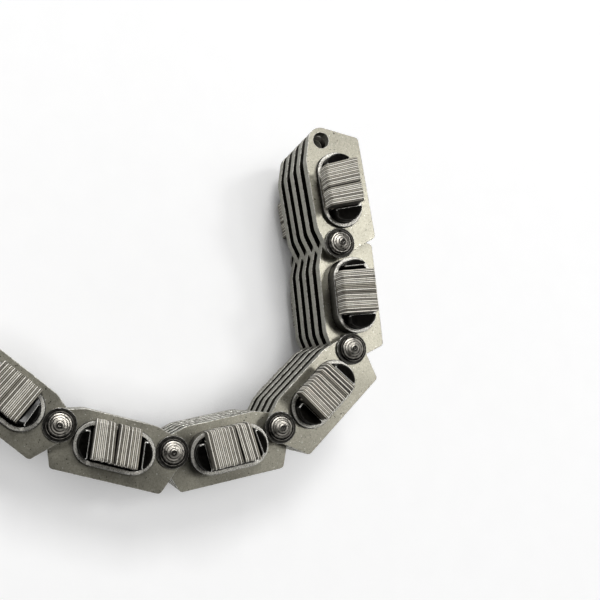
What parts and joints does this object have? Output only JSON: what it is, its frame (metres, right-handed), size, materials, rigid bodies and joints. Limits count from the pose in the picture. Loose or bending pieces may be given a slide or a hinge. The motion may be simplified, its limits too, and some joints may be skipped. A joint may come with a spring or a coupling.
{
  "type": "variable speed chain",
  "caption": "Curved length of variable speed chain: laminated steel plates on headed pins, with caged packs of thin slats that slide sideways.",
  "frame": {"origin": "on the axis of the first link's free bore, half way across the chain's width", "axes": "+X along the first link's pin line, +Y towards the chain's back, +Z along the pins"},
  "size_m": [0.0896, 0.1171, 0.0441],
  "materials": {
    "plate_steel": "oiled satin, fine speckle",
    "cage_steel": "ground rim, satin wall",
    "segment_steel": "dark, oily",
    "slat_steel": "hardened, ground ends",
    "pin_steel": "turned",
    "washer_steel": "dark satin"
  },
  "bodies": {
    "link_1": {"plates_1": "plate_steel", "cage_1": "cage_steel", "end_segments_1": "segment_steel", "pin_1": "pin_steel", "washers_1": "washer_steel"},
    "link_2": {"plates_2": "plate_steel", "cage_2": "cage_steel", "end_segments_2": "segment_steel", "pin_2": "pin_steel", "washers_2": "washer_steel"},
    "link_3": {"plates_3": "plate_steel", "cage_3": "cage_steel", "end_segments_3": "segment_steel", "pin_3": "pin_steel", "washers_3": "washer_steel"},
    "link_4": {"plates_4": "plate_steel", "cage_4": "cage_steel", "end_segments_4": "segment_steel", "pin_4": "pin_steel", "washers_4": "washer_steel"},
    "link_5": {"plates_5": "plate_steel", "cage_5": "cage_steel", "end_segments_5": "segment_steel", "pin_5": "pin_steel", "washers_5": "washer_steel"},
    "link_6": {"plates_6": "plate_steel", "cage_6": "cage_steel", "end_segments_6": "segment_steel"},
    "slat_group_1a": {"slats_1a": "slat_steel"},
    "slat_group_1b": {"slats_1b": "slat_steel"},
    "slat_group_2a": {"slats_2a": "slat_steel"},
    "slat_group_2b": {"slats_2b": "slat_steel"},
    "slat_group_3a": {"slats_3a": "slat_steel"},
    "slat_group_3b": {"slats_3b": "slat_steel"},
    "slat_group_4a": {"slats_4a": "slat_steel"},
    "slat_group_4b": {"slats_4b": "slat_steel"},
    "slat_group_5a": {"slats_5a": "slat_steel"},
    "slat_group_5b": {"slats_5b": "slat_steel"},
    "slat_group_6a": {"slats_6a": "slat_steel"},
    "slat_group_6b": {"slats_6b": "slat_steel"}
  },
  "joints": [
    {"name": "bend_12", "type": "hinge", "parent": "link_1", "child": "link_2", "pos_m": [0.0286, 0, 0], "axis": [0, 0, -1], "range_deg": [-19.7, 52.3]},
    {"name": "bend_23", "type": "hinge", "parent": "link_2", "child": "link_3", "pos_m": [0.05714, -0.00185, 0], "axis": [0, 0, -1], "range_deg": [-65.9, 6.1]},
    {"name": "bend_34", "type": "hinge", "parent": "link_3", "child": "link_4", "pos_m": [0.07411, -0.02487, 0], "axis": [0, 0, -1], "range_deg": [-50.1, 21.9]},
    {"name": "bend_45", "type": "hinge", "parent": "link_4", "child": "link_5", "pos_m": [0.07526, -0.05344, 0], "axis": [0, 0, -1], "range_deg": [-42.2, 29.8]},
    {"name": "bend_56", "type": "hinge", "parent": "link_5", "child": "link_6", "pos_m": [0.06367, -0.07959, 0], "axis": [0, 0, -1], "range_deg": [-40.1, 31.9]},
    {"name": "slats_1a_slide", "type": "slide", "parent": "link_1", "child": "slat_group_1a", "axis": [0, 0, 1], "range_m": [-0.0027, 0]},
    {"name": "slats_1b_slide", "type": "slide", "parent": "link_1", "child": "slat_group_1b", "axis": [0, 0, 1], "range_m": [-0.0027, 0]},
    {"name": "slats_2a_slide", "type": "slide", "parent": "link_2", "child": "slat_group_2a", "axis": [0, 0, 1], "range_m": [-0.0027, 0]},
    {"name": "slats_2b_slide", "type": "slide", "parent": "link_2", "child": "slat_group_2b", "axis": [0, 0, 1], "range_m": [-0.0027, 0]},
    {"name": "slats_3a_slide", "type": "slide", "parent": "link_3", "child": "slat_group_3a", "axis": [0, 0, 1], "range_m": [-0.0027, 0]},
    {"name": "slats_3b_slide", "type": "slide", "parent": "link_3", "child": "slat_group_3b", "axis": [0, 0, 1], "range_m": [-0.0027, 0]},
    {"name": "slats_4a_slide", "type": "slide", "parent": "link_4", "child": "slat_group_4a", "axis": [0, 0, 1], "range_m": [-0.0027, 0]},
    {"name": "slats_4b_slide", "type": "slide", "parent": "link_4", "child": "slat_group_4b", "axis": [0, 0, 1], "range_m": [-0.0027, 0]},
    {"name": "slats_5a_slide", "type": "slide", "parent": "link_5", "child": "slat_group_5a", "axis": [0, 0, 1], "range_m": [-0.0027, 0]},
    {"name": "slats_5b_slide", "type": "slide", "parent": "link_5", "child": "slat_group_5b", "axis": [0, 0, 1], "range_m": [-0.0027, 0]},
    {"name": "slats_6a_slide", "type": "slide", "parent": "link_6", "child": "slat_group_6a", "axis": [0, 0, 1], "range_m": [0, 0.0027]},
    {"name": "slats_6b_slide", "type": "slide", "parent": "link_6", "child": "slat_group_6b", "axis": [0, 0, 1], "range_m": [0, 0.0027]}
  ]
}
